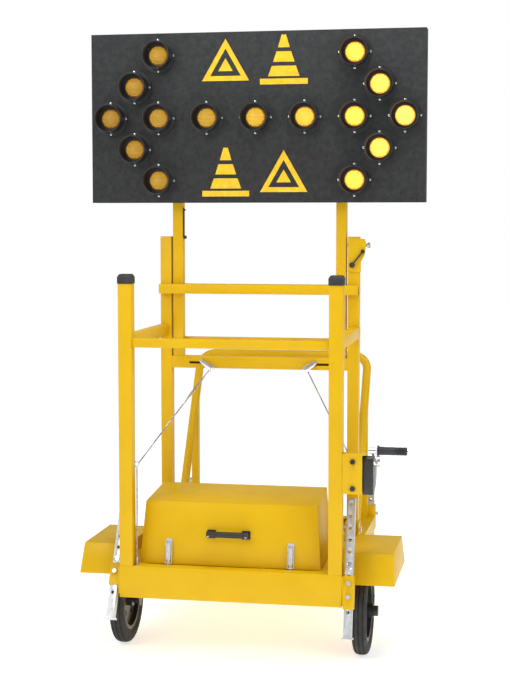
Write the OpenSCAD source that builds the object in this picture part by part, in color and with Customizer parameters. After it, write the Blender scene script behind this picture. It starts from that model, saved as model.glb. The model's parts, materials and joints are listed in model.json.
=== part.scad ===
// Arrow board trailer: a two-wheeled hand trailer that carries a flashing
// arrow board on a tilting, telescoping mast. Millimetres, +Z up, the front
// faces -Y. The origin is on the ground, under the middle of the bounding box.

/* [Board] */
// Width of the arrow board
board_w = 1200; // [1000:10:1500]
// Height of the arrow board
board_h = 600; // [500:10:760]
// Depth of the board's case
board_d = 60; // [40:1:80]
// Height of the board's lower edge above the ground
board_z = 1541; // [1490:1:1640]
// Thickness of the board's sheet metal
board_sheet = 2; // [1.5:0.5:3]
// Distance from the outermost lamps' centres to the board's side edges
lamp_margin_x = 72; // [66:1:90]
// Distance from the top and bottom lamps' centres to the board's edges
lamp_margin_z = 79; // [66:1:90]
// Outer radius of a lamp's hood
hood_r = 49; // [40:1:52]
// Depth of a lamp's hood in front of the board
hood_d = 50; // [20:1:60]
// Radius of a lamp's mounting flange
flange_r = 61; // [58:1:64]
// Radius of the amber lens
lens_r = 33; // [26:1:38]

/* [Mast] */
// Side of the mast's outer square posts
mast_w = 40; // [36:1:48]
// Distance from the centre line to the middle of an outer post
mast_x = 343; // [340:1:350]
// Distance of the mast behind the front posts
mast_dy = 525; // [490:1:560]
// Height of the outer posts' top
mast_top = 1420; // [1330:1:1440]
// Height of the mast's tilt axis
pivot_z = 365; // [360:1:380]
// Radius of the mast's pivot pins
pivot_r = 8; // [6:0.5:10]
// Side of the inner square posts that carry the board
inner_w = 36; // [30:1:40]
// Gap between an outer and an inner post
post_gap = 6.5; // [5:0.5:9]
// Height of the top of the inner posts
inner_top = 2060; // [1900:10:2100]
// Height of the underside of the crossbar
crossbar_z = 1214; // [1150:1:1250]
// Height of the crossbar's section
crossbar_h = 34; // [30:1:40]
// Depth of the crossbar's section
crossbar_d = 30; // [24:1:36]
// Height of the top of the lower beam, on which the inner posts rest
beam_top = 986; // [940:1:1040]
// Height of the lower beam's section
beam_h = 44; // [36:1:50]
// How far the board can be raised
raise = 250; // [150:10:300]

/* [Front frame] */
// Side of the front posts
front_w = 45; // [38:1:50]
// Distance from the centre line to the middle of a front post
front_x = 352; // [349:1:360]
// Height of the top of the front posts
front_top = 1270; // [1180:10:1320]
// Height of the top of the side rails
rail_top = 1100; // [1060:10:1150]
// Section of the side rails, across and up
rail_w = 35; // [30:1:40]
rail_h = 40; // [30:1:45]
// Height of the top of the front beam
front_beam_top = 1089; // [1060:1:1140]
// Side of the front beam
front_beam_w = 30; // [24:1:36]
// Height of a post's rubber cap
cap_h = 32; // [20:1:40]

/* [Tray] */
// Half width of the tray
tray_x = 375; // [372:1:385]
// Length of the tray
tray_len = 987; // [960:1:1040]
// Height of the tray's underside
tray_z = 218; // [205:1:225]
// Depth of the tray's walls
tray_h = 107; // [90:1:120]
// Thickness of the tray's sheet
sheet = 3; // [2:0.5:4]
// Width of the lips along the tray's sides
lip_w = 85; // [70:1:90]
// Width of the lip along the tray's front
front_lip = 48; // [46:1:50]

/* [Box] */
// Sideways shift of the box
box_x = -10; // [-20:1:0]
// Half width of the cover at its foot
box_half = 308; // [296:1:315]
// Half width of the cover at its top
box_top_half = 291; // [280:1:300]
// Distance of the cover's front edge behind the front posts
box_front = 30; // [28:1:40]
// Depth of the cover
box_d = 270; // [240:5:300]
// Height of the cover's front crease above the tray
crease_h = 208; // [180:2:230]
// Height of the cover's back edge above the tray
box_back_h = 232; // [200:2:250]
// How far the cover's front leans back up to its crease
crease_in = 30; // [15:1:45]
// Thickness of the cover's sheet
cover_sheet = 2; // [1.5:0.5:3]
// Distance from the box's middle to each toggle latch
latch_x = 208; // [170:1:240]
// Length of the carrying handle
handle_len = 146; // [120:1:170]

/* [Wheels and legs] */
// Radius of the tyres
wheel_r = 150; // [130:1:160]
// Width of the tyres
wheel_w = 52; // [44:1:60]
// Distance from the centre line to the middle of a wheel
wheel_x = 418; // [410:1:440]
// Distance of the axle behind the front posts
wheel_dy = 218; // [200:1:240]
// Radius of the wheels' stub axles
stub_r = 10; // [8:0.5:12]
// Heights of the mudguards' tops and lower edges
fender_top = 373; // [366:1:400]
fender_foot = 274; // [262:1:300]
// Distance from the centre line to the mudguards' outer edges, at the top
fender_out = 532; // [500:1:540]
// How far the mudguards' flat tops reach in front of and behind the axle
fender_fore = 121; // [110:1:135]
fender_aft = 187; // [150:1:200]
// Distance from the centre line to the ends of the hub caps
hub_end = 470; // [465:1:480]
// Side of the legs' perforated square tubes
leg_w = 27; // [25:1:32]
// Spacing of the holes in the legs
leg_pitch = 39; // [30:1:45]
// Radius of the holes in the legs
leg_hole_r = 5.5; // [4:0.5:6]
// Distance from the centre line to a front leg
front_leg_x = 397; // [396:1:410]
// Forward lean of the left front leg, in degrees
leg_lean_left = 28.4; // [8:0.1:30]
// Forward lean of the right front leg, in degrees
leg_lean_right = 12; // [8:0.1:18]
// Length of a front leg
front_leg_len = 458; // [420:2:470]
// Height of the right front foot above the ground
foot_lift = 118; // [90:1:130]
// How much higher the left front leg is set than the right one
leg_offset = 39; // [0:1:39]
// Distance from the centre line to a rear leg
rear_leg_x = 358; // [350:1:360]
// Height of the rear legs
rear_leg_h = 450; // [420:5:480]

/* [Push handle] */
// Radius of the handle's tube
tube_r = 16; // [13:1:18]
// Distance from the centre line to a handle leg
handle_x = 335; // [330:1:345]
// Distance of the handle's foot behind the front posts
handle_dy = 665; // [650:5:690]
// Height of the handle's top tube
handle_top_z = 948; // [850:1:960]
// Backward lean of the handle, in degrees
handle_lean = 31.715; // [30:0.005:36]
// Radius of the handle's bends
handle_bend = 60; // [45:5:90]
// Side of the upright struts
strut_w = 27; // [22:1:30]
// Distance of the struts behind the front posts
strut_dy = 942; // [900:1:945]

/* [Winch] */
// Height of the underside of the winch's plate
plate_z = 594; // [590:1:610]
// Height and width of the winch's plate
plate_h = 127; // [110:1:140]
plate_w = 65; // [62:1:75]
// Distance of the drum's axis behind the front posts, and its height
drum_dy = 40; // [36:1:45]
drum_z = 655; // [650:1:662]
// Radius of the rope drum
drum_r = 22; // [18:1:25]
// Height of the crank's axis
crank_z = 700; // [696:1:705]
// Distance of the crank's axis behind the front posts
crank_dy = 5; // [3:1:8]
// Length of the crank's arm
crank_throw = 150; // [120:5:180]
// Rise of the crank's arm above level, in degrees
crank_rise = 22; // [0:1:40]
// Radius and length of the crank's grip
grip_r = 13.5; // [11:0.5:16]
grip_len = 94; // [80:1:100]
// Teeth on the crank's pinion
pinion_teeth = 12; // [10:1:14]
// Teeth on the drum's gear
gear_teeth = 48; // [40:2:56]
// Radius of the wire rope
rope_r = 2.5; // [2:0.25:3]
// Distance from the centre line to a rope lug's sheave
lug_x = 172; // [150:1:200]

/* [Hidden] */
$fn = 48;
fit = 0.05;        // radial clearance of a running fit
gap = 0.3;         // clearance between bodies that slide or stop
slide_gap = 0.6;   // clearance of a leg in its sleeve
tube_wall = 3;
strap_t = 6;       // rear guide straps of the mast
pad_t = 1.7;       // plastic slide pads
plate_t = 6;
handle_run = (handle_top_z - (tray_z + tray_h)) / cos(handle_lean);
handle_back = handle_dy + handle_run * sin(handle_lean) + tube_r;
grip_flange_r = grip_r + 3.5;
crank_front = crank_dy - crank_throw * cos(crank_rise) - grip_flange_r;
y0 = -(handle_back + crank_front) / 2;   // the front posts' centre plane
deck = tray_z + tray_h;
mast_y = y0 + mast_dy;
mast_front = mast_y - mast_w / 2;
mast_back = mast_y + mast_w / 2;
inner_x = mast_x - mast_w / 2 - post_gap - inner_w / 2;
board_back_y = mast_y - inner_w / 2;
board_y = board_back_y - board_d;
lamp_px = (board_w / 2 - lamp_margin_x) / 6;
lamp_pz = (board_h / 2 - lamp_margin_z) / 2;
lamp_mid = board_z + board_h / 2;
post_foot = pivot_z - 30;
wheel_y = y0 + wheel_dy;
axle_h = tray_z - 173;
box_y = y0 + box_front;
face_lean = atan2(crease_in, crease_h);
leg_pass_left = 36;     // how far behind the posts' plane the left leg crosses the deck's height
leg_pass_right = 8;
leg_pass_z = deck + 3;
function leg_lean(side) = side < 0 ? leg_lean_left : leg_lean_right;
function leg_pass(side) = side < 0 ? leg_pass_left : leg_pass_right;
function leg_foot(side) = -(leg_pass_z - foot_lift) / cos(leg_lean(side));
sleeve_w = leg_w + 8;
sleeve_h_left = 76;
sleeve_h_right = 108;
function sleeve_h(side) = side < 0 ? sleeve_h_left : sleeve_h_right;
sleeve_rear_z = 275;
sleeve_rear_h = 93;
rear_leg_y = y0 + tray_len - front_w / 2 + sleeve_w / 2 + 2;
strap_z = [crossbar_z, beam_top + 34];
lock_z = mast_top - 30;
lock_r = 6;
lock_travel = 20;
plate_x0 = tray_x;
winch_y = y0 - front_w / 2 + plate_t;
cheek_t = 3;
cheek_in = plate_x0 + 6;
cheek_out = plate_x0 + plate_w - cheek_t;
case_x0 = plate_x0 + plate_w;
case_x1 = case_x0 + 35;
drum_y = y0 + drum_dy;
crank_y = y0 + crank_dy;
gear_dist = norm([drum_y - crank_y, crank_z - drum_z]);
gear_angle = atan2(crank_z - drum_z, crank_y - drum_y);
gear_module = 2 * gear_dist / (gear_teeth + pinion_teeth);
gear_x = case_x0 + 8;
gear_t = 10;
shaft_r = 7;
grip_x0 = case_x1 + 26;
eye = [-front_x + front_w / 2 + 11, y0, 667];
lug_z = beam_top - beam_h + 2;
lug_r = 12.5;
rope_l_foot = [-312.5, y0 + 4, 671.5];
rope_l_head = [-182.2, mast_front - 6, 935];
rope_r_head = [182.2, mast_front - 6, 935];
rope_r_foot = [410, drum_y - 13, drum_z + 21.5];

yellow = [0.95, 0.72, 0.05];
black = [0.08, 0.08, 0.09];
steel = [0.72, 0.73, 0.75];
rubber = [0.13, 0.13, 0.14];
amber = [1.0, 0.6, 0.05];

// ---- shared shapes -------------------------------------------------------

// A block between two corners
module block(lo, hi) translate(lo) cube(hi - lo);

// A square tube standing on centre c, open at both ends
module post_tube(c, w, z0, z1) difference() {
    block([c[0] - w / 2, c[1] - w / 2, z0], [c[0] + w / 2, c[1] + w / 2, z1]);
    block([c[0] - w / 2 + tube_wall, c[1] - w / 2 + tube_wall, z0 - 1],
        [c[0] + w / 2 - tube_wall, c[1] + w / 2 - tube_wall, z1 + 1]);
}

// A rectangular tube along X between two corners, open at both ends
module beam_tube(lo, hi) difference() {
    block(lo, hi);
    block([lo[0] - 1, lo[1] + tube_wall, lo[2] + tube_wall],
        [hi[0] + 1, hi[1] - tube_wall, hi[2] - tube_wall]);
}

// A round bar along X
module bar_x(c, r, len) translate(c) rotate([0, 90, 0]) cylinder(r = r, h = len);

// A round bar along -Y, starting at c
module bar_front(c, r, len) translate(c) rotate([90, 0, 0]) cylinder(r = r, h = len);

// A straight round bar between two points
module run(a, b, r) {
    d = b - a;
    translate(a) rotate([0, acos(d[2] / norm(d)), atan2(d[1], d[0])])
        cylinder(r = r, h = norm(d));
}

// A flat outline in X and Z, given thickness t backwards from y
module plate_y(y, t) translate([0, y + t, 0]) rotate([90, 0, 0]) linear_extrude(t) children();

// A flat outline in Y and Z, given thickness t from x
module plate_x(x, t) translate([x, 0, 0]) rotate([90, 0, 90]) linear_extrude(t) children();

module both() { children(); mirror([1, 0, 0]) children(); }

// ---- tray, axle, wheels --------------------------------------------------

module tray() color(yellow) {
    y_a = y0 - front_w / 2;
    y_b = y_a + tray_len;
    difference() {
        block([-tray_x, y_a, tray_z], [tray_x, y_b, deck]);
        block([-tray_x + sheet, y_a + sheet, tray_z + sheet],
            [tray_x - sheet, y_b - sheet, deck - sheet]);
        block([-tray_x + lip_w, y_a + front_lip, deck - sheet - 1],
            [tray_x - lip_w, y_b - front_lip, deck + 1]);
    }
    block([-tray_x + lip_w - weld, box_y + box_d - 6, deck - sheet],
        [tray_x - lip_w + weld, hinge_y + 34, deck]);
}

module axle() color(black) {
    drop = 8;
    block([-tray_x + drop, wheel_y - axle_h / 2, tray_z - axle_h],
        [tray_x - drop, wheel_y + axle_h / 2, tray_z]);
    both() {
        difference() {
            hull() {
                block([tray_x - drop, wheel_y - 35, tray_z - 2], [tray_x, wheel_y + 35, tray_z]);
                bar_x([tray_x - drop, wheel_y, wheel_r], 22, drop, $fn = 32);
            }
            bar_x([tray_x - drop - 1, wheel_y, wheel_r], stub_r, drop + 2);
        }
        bar_x([tray_x - drop, wheel_y, wheel_r], stub_r, hub_end - 16 - tray_x + drop);
        bar_x([hub_end - 16, wheel_y, wheel_r], 18, 16);
        bar_x([tray_x, wheel_y, wheel_r], 14, wheel_x - wheel_w / 2 - tray_x - 2);
    }
}

// A tyre turned about X: square shoulders, rounded edges
module tyre(side) color(rubber) translate([side * wheel_x, wheel_y, wheel_r])
    rotate([0, 90, 0]) rotate_extrude($fn = 96) {
        bead = wheel_r - 45;
        polygon([[bead, -wheel_w / 2 + 6], [wheel_r - 8, -wheel_w / 2], [wheel_r, -wheel_w / 2 + 9],
            [wheel_r, wheel_w / 2 - 9], [wheel_r - 8, wheel_w / 2], [bead, wheel_w / 2 - 6]]);
    }

// A pressed wheel disc with its hub tube
module rim(side) color(black) translate([side * wheel_x, wheel_y, wheel_r])
    rotate([0, side * 90, 0]) difference() {
        rotate_extrude($fn = 96) {
            seat = wheel_r - 45;
            polygon([[stub_r + fit, -wheel_w / 2 + 2], [24, -wheel_w / 2 + 2], [24, -5],
                [seat - 12, -5], [seat - 12, -wheel_w / 2 + 6], [seat, -wheel_w / 2 + 6],
                [seat, wheel_w / 2 - 6], [seat - 12, wheel_w / 2 - 6], [seat - 12, 5], [24, 5],
                [24, hub_end - 17 - wheel_x], [stub_r + fit, hub_end - 17 - wheel_x]]);
        }
        for (a = [0 : 72 : 288]) rotate([0, 0, a]) translate([58, 0, -20])
            cylinder(r = 13, h = 40);
    }

// A sheet metal mudguard with sloping ends, flared on its three free sides
fender_flare = 8;
fender_slope = 34;
module fender_form(t) {
    x_in = tray_x - 1;
    intersection() {
        plate_x(x_in, 400) polygon([
            [wheel_y - fender_fore - fender_slope + t, fender_foot - t],
            [wheel_y - fender_fore + t, fender_top - t],
            [wheel_y + fender_aft - t, fender_top - t],
            [wheel_y + fender_aft + fender_slope - t, fender_foot - t]]);
        plate_y(wheel_y - 300, 600) polygon([[x_in + 1, fender_foot - t], [x_in + 1, fender_top - t],
            [fender_out - t, fender_top - t], [fender_out + fender_flare - t, fender_foot - t]]);
    }
}
module fender() difference() {
    fender_form(0);
    fender_form(sheet);
    block([tray_x - 5, wheel_y - 300, fender_foot - 10], [tray_x + 300, wheel_y + 300, fender_foot]);
}
module fender_right() color(yellow) {
    fender();
    block([tray_x, wheel_y - fender_fore + 12, deck - 40],
        [tray_x + 2, wheel_y + fender_aft - 12, fender_top - sheet + weld]);
}
module fender_left() color(yellow) mirror([1, 0, 0]) fender_right();

// ---- front frame ---------------------------------------------------------

module front_post(side) color(yellow)
    post_tube([side * front_x, y0], front_w, deck, front_top);

module post_caps() color(rubber) both() translate([front_x, y0, front_top]) {
    w = front_w + 4;
    hull() {
        translate([-w / 2, -w / 2, 0]) cube([w, w, cap_h - 10]);
        translate([-w / 2 + 6, -w / 2 + 6, 0]) cube([w - 12, w - 12, cap_h]);
    }
    translate([-14, -14, -25]) cube([28, 28, 25]);
}

module side_rails() color(yellow) both() difference() {
    block([front_x - rail_w / 2, y0 + front_w / 2, rail_top - rail_h],
        [front_x + rail_w / 2, mast_front - gap, rail_top]);
    block([front_x - rail_w / 2 + tube_wall, y0 + front_w / 2 - 1, rail_top - rail_h + tube_wall],
        [front_x + rail_w / 2 - tube_wall, mast_front, rail_top - tube_wall]);
}

module front_beam() color(yellow) {
    x = front_x - front_w / 2;
    beam_tube([-x, y0 - front_beam_w / 2, front_beam_top - front_beam_w],
        [x, y0 + front_beam_w / 2, front_beam_top]);
}

// ---- push handle ---------------------------------------------------------

module push_handle() color(yellow) {
    straight = handle_run - handle_bend;
    difference() {
        translate([0, y0 + handle_dy, deck]) rotate([-handle_lean, 0, 0]) {
            both() {
                translate([handle_x, 0, -20]) cylinder(r = tube_r, h = straight + 20);
                translate([handle_x - handle_bend, 0, straight]) rotate([90, 0, 0])
                    rotate_extrude(angle = 90, $fn = 64) translate([handle_bend, 0]) circle(r = tube_r);
            }
            bar_x([-handle_x + handle_bend, 0, handle_run], tube_r, 2 * (handle_x - handle_bend));
        }
        block([-600, y0, deck - 100], [600, y0 + 1500, deck]);
    }
    both() difference() {
        block([handle_x - 30, y0 + handle_dy - 35, deck], [handle_x + 30, y0 + handle_dy + 45, deck + 5]);
        translate([handle_x, y0 + handle_dy - 25, deck - 1]) cylinder(r = 4, h = 8);
        translate([handle_x, y0 + handle_dy + 35, deck - 1]) cylinder(r = 4, h = 8);
    }
}

// Struts from the tray's rear lip up to the handle's legs
module handle_struts() color(yellow) both() difference() {
    h = (strut_dy - handle_dy) / tan(handle_lean);
    post_tube([handle_x, y0 + strut_dy], strut_w, deck, deck + h);
    translate([0, y0 + handle_dy, deck]) rotate([-handle_lean, 0, 0]) {
        block([-600, -400, -50], [600, 0, 900]);
        translate([handle_x, 0, -20]) cylinder(r = tube_r, h = 900);
    }
}

// ---- legs ----------------------------------------------------------------

// A perforated leg, foot downwards, with its axis on the origin's Z
module leg_form(len) {
    rows = floor((len - 60) / leg_pitch);
    difference() {
        translate([-leg_w / 2, -leg_w / 2, 5]) cube([leg_w, leg_w, len - 5]);
        translate([-leg_w / 2 + tube_wall, -leg_w / 2 + tube_wall, 4])
            cube([leg_w - 2 * tube_wall, leg_w - 2 * tube_wall, len]);
        for (i = [0 : rows - 1]) bar_front([0, leg_w, len - 20 - i * leg_pitch], leg_hole_r, 2 * leg_w);
    }
    translate([-leg_w / 2 - 4, -leg_w / 2 - 4, 0]) cube([leg_w + 8, leg_w + 8, 5]);
}

// Puts children on a front leg's axis, z = 0 where the leg crosses the deck
module on_front_leg(side) translate([side * front_leg_x, y0 + leg_pass(side), leg_pass_z])
    rotate([-leg_lean(side), 0, 0]) children();

module front_leg_left() color(steel) on_front_leg(-1)
    translate([0, 0, leg_foot(-1) + leg_offset]) leg_form(front_leg_len);
module front_leg_right() color(steel) on_front_leg(1)
    translate([0, 0, leg_foot(1)]) leg_form(front_leg_len);
module rear_leg(side) color(steel) translate([side * rear_leg_x, rear_leg_y, 0])
    leg_form(rear_leg_h);

module sleeve(z0, h) difference() {
    translate([-sleeve_w / 2, -sleeve_w / 2, z0]) cube([sleeve_w, sleeve_w, h]);
    translate([-leg_w / 2 - slide_gap, -leg_w / 2 - slide_gap, z0 - 1])
        cube([leg_w + 2 * slide_gap, leg_w + 2 * slide_gap, h + 2]);
}
function screw_z(side) = side < 0 ? [-42] : [-34, -78];   // clamp screws, down the leg from the deck
rear_screw_z = sleeve_rear_z + 60;
screw_r = 4;
weld = 1;                    // how far a welded plate runs into the sleeve's wall
module leg_sleeves() color(yellow) {
    for (side = [-1, 1]) {
        difference() {
            on_front_leg(side) sleeve(-10 - sleeve_h(side), sleeve_h(side));
            on_front_leg(side) for (z = screw_z(side)) bar_front([0, 0, z], screw_r + gap, leg_w);
        }
        plate_x(side > 0 ? tray_x : -front_leg_x + sleeve_w / 2 - weld,
                front_leg_x - sleeve_w / 2 - tray_x + weld)
            polygon([[y0 - 20, tray_z + 12], [y0 - 20, deck - 6], [y0 + 22, deck - 6],
                [y0 + 22, tray_z + 12]]);
        translate([side * rear_leg_x, rear_leg_y, 0]) difference() {
            union() {
                sleeve(sleeve_rear_z, sleeve_rear_h);
                translate([-sleeve_w / 2 + 1, -sleeve_w / 2 - 2, sleeve_rear_z + 1])
                    cube([sleeve_w - 2, 2 + weld, deck - sleeve_rear_z - 1]);
            }
            bar_x([side > 0 ? 0 : -60, 0, rear_screw_z], screw_r + gap, 60);
        }
    }
}

// Hexagon-headed clamp screws that press on the legs inside their sleeves
module clamp_screw(reach) {
    cylinder(r = screw_r, h = reach);
    translate([0, 0, reach - 6]) cylinder(r = 8, h = 6, $fn = 6);
}
module clamp_bolts() color(steel) {
    for (side = [-1, 1]) {
        on_front_leg(side) for (z = screw_z(side))
            translate([0, -leg_w / 2 - gap, z]) rotate([90, 0, 0]) clamp_screw(14);
        translate([side * (rear_leg_x + leg_w / 2 + gap), rear_leg_y, rear_screw_z])
            rotate([0, side * 90, 0]) clamp_screw(14);
    }
}

// ---- box, cover, latches -------------------------------------------------

module cover_form(t, cut) intersection() {
    plate_x(box_x - box_half - 5, 2 * box_half + 10) polygon([
        [box_y + t, deck - cut], [box_y + crease_in + t, deck + crease_h - t],
        [box_y + box_d - 5 - t, deck + box_back_h - t], [box_y + box_d - t, deck - cut]]);
    plate_y(box_y - 10, box_d + 20) polygon([
        [box_x - box_half + t, deck - cut], [box_x - box_top_half + t, deck + box_back_h + 1],
        [box_x + box_top_half - t, deck + box_back_h + 1], [box_x + box_half - t, deck - cut]]);
}
hinge_y = box_y + box_d + 8;
hinge_z = deck + 7;
hinge_r = 6;
hinge_pin_r = 3;
hinge_x = [box_x - 200, box_x + 200];
module box_cover() color(yellow) {
    difference() {
        cover_form(0, 0);
        cover_form(cover_sheet, 1);
    }
    for (x = hinge_x) difference() {
        union() {
            bar_x([x - 10 + gap, hinge_y, hinge_z], hinge_r, 20 - 2 * gap);
            block([x - 10 + gap, box_y + box_d - 1.2, hinge_z], [x + 10 - gap, hinge_y, hinge_z + 3]);
            block([x - 10 + gap, box_y + box_d - 1.2, hinge_z],
                [x + 10 - gap, box_y + box_d + 1.5, hinge_z + 30]);
        }
        bar_x([x - 20, hinge_y, hinge_z], hinge_pin_r + fit, 40);
    }
}
module cover_hinges() color(steel) for (x = hinge_x) {
    for (left = [x - 32, x + 10]) {
        bar_x([left, hinge_y, hinge_z], hinge_r, 22);
        block([left, hinge_y - 2, deck], [left + 22, hinge_y + 2, hinge_z]);
        block([left, hinge_y - 2, deck], [left + 22, hinge_y + 26, deck + 2]);
    }
    bar_x([x - 11, hinge_y, hinge_z], hinge_pin_r, 22);
}

// Puts children on the cover's sloping front: y = 0 on its face, z up the face
module on_cover_face(x) translate([box_x + x, box_y, deck]) rotate([-face_lean, 0, 0]) children();

module cover_handle() color(black) on_cover_face(-4) {
    z = 107;
    for (s = [-1, 1]) translate([s * (handle_len / 2 - 14), 0, z]) {
        translate([-14, -5, -14]) cube([28, 5, 28]);
        bar_front([0, -5, 0], 8, 22);
    }
    bar_x([-handle_len / 2 + 3, -30, z], 10, handle_len - 6);
}

latch_pin_z = 68;
module latch_bases() color(steel) for (s = [-1, 1]) on_cover_face(s * latch_x) {
    translate([-10.5, -2, 20]) cube([21, 2, 66]);
    for (e = [-1, 1]) difference() {
        translate([e > 0 ? 8 : -10, -12, 56]) cube([2, 11, 22]);
        bar_x([-20, -8, latch_pin_z], 2 + fit, 40);
    }
}

// Toggle lever with its wire loop, pivoted between the base's ears
wire_r = 1.4;
module latch(x) color(steel) on_cover_face(x) {
    bar_x([-11, -8, latch_pin_z], 2, 22);
    difference() {
        translate([-7, -13, 16]) cube([14, 10, latch_pin_z + 3 - 16]);
        translate([-5.5, -11, 14]) cube([11, 12, 46]);
    }
    for (e = [-1, 1]) translate([e * 10.5, -8, 4]) cylinder(r = wire_r, h = 44);
    for (z = [4, 48]) bar_x([-12, -8, z], wire_r + 0.3, 24);
}

module latch_keepers() color(steel) for (s = [-1, 1]) translate([box_x + s * latch_x, box_y, deck]) {
    translate([-4, -5, 0]) cube([8, 2, 18]);
    translate([-4, -16, 0]) cube([8, 12, 1.5]);
}

module batteries() color([0.2, 0.2, 0.22]) for (x = [-260, -90]) translate([x, y0 + 70, tray_z + sheet]) {
    cube([150, 170, 190]);
    for (dx = [30, 120]) translate([dx, 30, 190]) cylinder(r = 8, h = 16);
}

module controller() color([0.75, 0.76, 0.78]) translate([100, y0 + 80, tray_z + sheet]) {
    cube([150, 120, 90]);
    for (dx = [35, 75, 115]) translate([dx, 60, 90]) cylinder(r = 9, h = 12);
}

// ---- mast ----------------------------------------------------------------

module mast_feet() color(yellow) both() {
    w = mast_w / 2 + 0.5;
    difference() {
        union() {
            for (x = [mast_x - w - 5, mast_x + w])
                block([x, mast_y - 28, deck], [x + 5, mast_y + 28, pivot_z + 28]);
            block([mast_x - w - 5, mast_y - 28, deck], [mast_x + w + 5, mast_y + 28, deck + 3]);
        }
        bar_x([mast_x - 60, mast_y, pivot_z], pivot_r, 120);
    }
}

module mast_pivot_pins() color(steel) both() {
    w = mast_w / 2 + 5.5;
    bar_x([mast_x - w, mast_y, pivot_z], pivot_r, 2 * w);
    bar_x([mast_x + w, mast_y, pivot_z], 12, 6, $fn = 6);
    bar_x([mast_x - w - 6, mast_y, pivot_z], 12, 6, $fn = 6);
}

module outer_post(side) color(yellow) difference() {
    post_tube([side * mast_x, mast_y], mast_w, post_foot, mast_top);
    bar_x([side * mast_x - mast_w, mast_y, pivot_z], pivot_r + fit, 2 * mast_w);
    if (side > 0) bar_x([mast_x - mast_w, mast_y, lock_z], lock_r + gap, 2 * mast_w);
}

module crossbar() color(yellow) {
    x = mast_x + mast_w / 2;
    beam_tube([-x, mast_front - crossbar_d, crossbar_z], [x, mast_front, crossbar_z + crossbar_h]);
}

// The lower beam stands between the outer posts; a slot near each end lets the rope out
module lower_beam() color(yellow) {
    x = mast_x - mast_w / 2;
    difference() {
        beam_tube([-x, mast_front, beam_top - beam_h], [x, mast_back - 4, beam_top]);
        both() block([lug_x + 34, mast_front - 1, beam_top - 28],
            [lug_x + 84, mast_front + tube_wall + 1, beam_top - 20]);
    }
}

// Flat straps behind the inner posts, with plastic pads that the posts slide on
module mast_guides() {
    x = mast_x + mast_w / 2;
    color(yellow) for (z = strap_z) block([-x, mast_back, z], [x, mast_back + strap_t, z + crossbar_h]);
    front_pad = (mast_w - inner_w) / 2 - gap;
    color(rubber) both() {
        for (z = strap_z)
            block([inner_x - 12, mast_back - front_pad, z], [inner_x + 12, mast_back, z + crossbar_h]);
        block([inner_x - 12, mast_front, crossbar_z],
            [inner_x + 12, mast_front + front_pad, crossbar_z + crossbar_h]);
        for (z = strap_z) block([mast_x - mast_w / 2 - post_gap + gap, mast_y - 12, z],
            [mast_x - mast_w / 2, mast_y + 12, z + crossbar_h]);
    }
}

// Pear-shaped cheek plates under the beam's slots, each with a grooved sheave behind it
sheave_r = 12.6;
groove_r = 10.5;
sheave_t = 10;
cheek_y = mast_front - sheave_t - 2;
module rope_lugs() color(steel) both() {
    plate_y(cheek_y - 4, 4) hull() {
        translate([lug_x, lug_z]) circle(r = lug_r);
        translate([lug_x + 36, lug_z + 26]) circle(r = 7);
    }
    bar_front([lug_x + 36, mast_front, lug_z + 26], 6, sheave_t + 3);
    bar_front([lug_x, mast_front, lug_z], 4, sheave_t + 9);
    translate([lug_x, mast_front - 1, lug_z]) rotate([90, 0, 0]) rotate_extrude($fn = 48)
        polygon([[4 + fit, 0], [sheave_r, 0], [groove_r, 3], [groove_r, 7], [sheave_r, sheave_t],
            [4 + fit, sheave_t]]);
}

module lock_bracket() color(yellow) {
    x = mast_x - mast_w / 2;
    difference() {
        plate_y(mast_front - 4, 4) polygon([[x, mast_top - 124], [x, mast_top - 2], [x + 61, mast_top - 8],
            [x + 65, mast_top - 22], [x + 61, mast_top - 62], [x + 47, mast_top - 89],
            [x + 47, mast_top - 124]]);
        bar_front([x + 54, mast_front + 1, mast_top - 52], 3 + fit, 8);
    }
    difference() {
        block([mast_x + mast_w / 2, mast_front, lock_z - 14],
            [mast_x + mast_w / 2 + 8, mast_back - 8, lock_z + 14]);
        bar_x([mast_x, mast_y, lock_z], lock_r + fit, 60);
    }
}

// Cranked lever with a ball knob, in front of the right lock bracket
module lock_lever_right() color(black) {
    x = mast_x - mast_w / 2 + 54;
    z = mast_top - 52;
    bar_front([x, mast_front, z], 3, 14);
    bar_front([x, mast_front - 4 - gap, z], 7, 7);
    run([x, mast_front - 10, z], [x - 36, mast_front - 16, z - 46], 3);
    translate([x - 37, mast_front - 16, z - 48]) sphere(r = 10);
}

module lock_pin() color(steel) {
    nose = mast_x - mast_w / 2 - 4;
    bar_x([nose, mast_y, lock_z], lock_r, mast_x + mast_w / 2 + 34 - nose);
    bar_x([mast_x + mast_w / 2 + 8 + lock_travel + 1, mast_y, lock_z], 10, 8);
}

// Hanging release lever on the left inner post's inner side
module lock_lever_left() color(black) {
    x = -inner_x + inner_w / 2;
    bar_x([x - tube_wall, mast_y - 8, board_z - 25], 3, 12);
    plate_x(x + gap, 4) polygon([[mast_y - 14, board_z - 18], [mast_y - 2, board_z - 18],
        [mast_y - 4, board_z - 75], [mast_y - 5, board_z - 120], [mast_y - 11, board_z - 120],
        [mast_y - 12, board_z - 75]]);
    translate([x + 7, mast_y - 8, board_z - 124]) sphere(r = 6.5);
}

module inner_post(side) color(yellow) difference() {
    post_tube([side * inner_x, mast_y], inner_w, beam_top, inner_top);
    if (side > 0) for (z = [lock_z, lock_z - raise])
        bar_x([side * inner_x, mast_y, z], lock_r + gap, inner_w);
    if (side < 0) bar_x([-inner_x, mast_y - 8, board_z - 25], 3 + fit, inner_w);
}

// ---- board and lamps -----------------------------------------------------

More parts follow.
